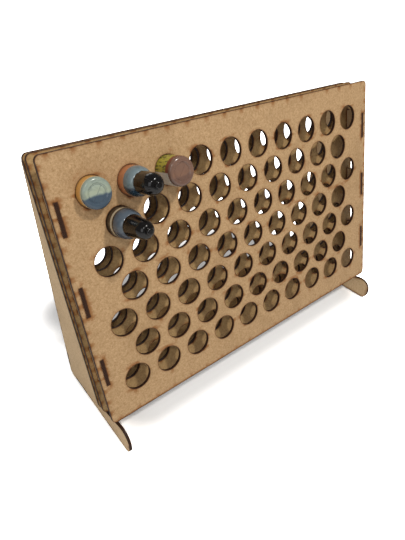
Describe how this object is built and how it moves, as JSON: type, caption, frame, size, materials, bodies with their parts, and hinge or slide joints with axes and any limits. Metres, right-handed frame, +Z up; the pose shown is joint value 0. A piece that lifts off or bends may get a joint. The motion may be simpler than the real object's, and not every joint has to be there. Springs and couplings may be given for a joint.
{
  "type": "dropper bottle rack",
  "caption": "Leaning table-top rack of slotted flat boards with rows of round holes that hold small dropper bottles.",
  "frame": {"origin": "on the table, midway between the two side panels and midway along their bases", "axes": "+X along the rows of holes to the viewer's right, -Y to the front, +Z up"},
  "size_m": [0.395, 0.1301, 0.2742],
  "materials": {
    "fibreboard": "raw laser-cut fibreboard with burnt edges",
    "pale_bottle": "translucent blown bottle, satin",
    "blue_paint": "wet paint",
    "mauve_bottle": "blown bottle, satin",
    "mauve_paint": "wet paint",
    "nozzle_plastic": "natural moulded plastic",
    "black_cap": "glossy moulded plastic",
    "cream_label": "printed film",
    "green_label": "printed film",
    "orange_label": "printed film",
    "salmon_label": "printed film"
  },
  "bodies": {
    "rack": {"front_board": "fibreboard", "middle_board": "fibreboard", "rest_board": "fibreboard", "left_side_panel": "fibreboard", "right_side_panel": "fibreboard", "rear_brace": "fibreboard", "bottom_brace": "fibreboard"},
    "short_bottle": {"short_bottle": "pale_bottle", "short_bottle_paint": "blue_paint", "short_bottle_nozzle": "nozzle_plastic", "short_bottle_label": "orange_label"},
    "short_bottle_cap": {"short_bottle_cap": "black_cap"},
    "faceted_cap_bottle": {"faceted_cap_bottle": "pale_bottle", "faceted_cap_bottle_paint": "blue_paint", "faceted_cap_bottle_nozzle": "nozzle_plastic", "faceted_cap_bottle_label": "salmon_label"},
    "faceted_cap_bottle_cap": {"faceted_cap_bottle_cap": "black_cap"},
    "tall_bottle": {"tall_bottle": "mauve_bottle", "tall_bottle_paint": "mauve_paint", "tall_bottle_nozzle": "nozzle_plastic", "tall_bottle_label": "green_label"},
    "tall_bottle_cap": {"tall_bottle_cap": "black_cap"},
    "ribbed_cap_bottle": {"ribbed_cap_bottle": "pale_bottle", "ribbed_cap_bottle_paint": "blue_paint", "ribbed_cap_bottle_nozzle": "nozzle_plastic", "ribbed_cap_bottle_label": "cream_label"},
    "ribbed_cap_bottle_cap": {"ribbed_cap_bottle_cap": "black_cap"}
  },
  "joints": [
    {"name": "short_bottle_slide", "type": "slide", "parent": "rack", "child": "short_bottle", "axis": [0, -0.9659, 0.2588], "range_m": [0, 0.065]},
    {"name": "short_bottle_cap_turn", "type": "hinge", "parent": "short_bottle", "child": "short_bottle_cap", "pos_m": [-0.162, 0.00831, 0.23992], "axis": [0, 0.9659, -0.2588], "range_deg": [0, 540]},
    {"name": "faceted_cap_bottle_slide", "type": "slide", "parent": "rack", "child": "faceted_cap_bottle", "axis": [0, -0.9659, 0.2588], "range_m": [0, 0.04]},
    {"name": "faceted_cap_bottle_cap_turn", "type": "hinge", "parent": "faceted_cap_bottle", "child": "faceted_cap_bottle_cap", "pos_m": [-0.126, 0.00831, 0.23992], "axis": [0, -0.9659, 0.2588], "range_deg": [0, 540]},
    {"name": "tall_bottle_slide", "type": "slide", "parent": "rack", "child": "tall_bottle", "axis": [0, -0.9659, 0.2588], "range_m": [0, 0.065]},
    {"name": "tall_bottle_cap_turn", "type": "hinge", "parent": "tall_bottle", "child": "tall_bottle_cap", "pos_m": [-0.09, 0.00831, 0.23992], "axis": [0, 0.9659, -0.2588], "range_deg": [0, 540]},
    {"name": "ribbed_cap_bottle_slide", "type": "slide", "parent": "rack", "child": "ribbed_cap_bottle", "axis": [0, -0.9659, 0.2588], "range_m": [0, 0.04]},
    {"name": "ribbed_cap_bottle_cap_turn", "type": "hinge", "parent": "ribbed_cap_bottle", "child": "ribbed_cap_bottle_cap", "pos_m": [-0.144, 0.00062, 0.21123], "axis": [0, -0.9659, 0.2588], "range_deg": [0, 540]}
  ]
}
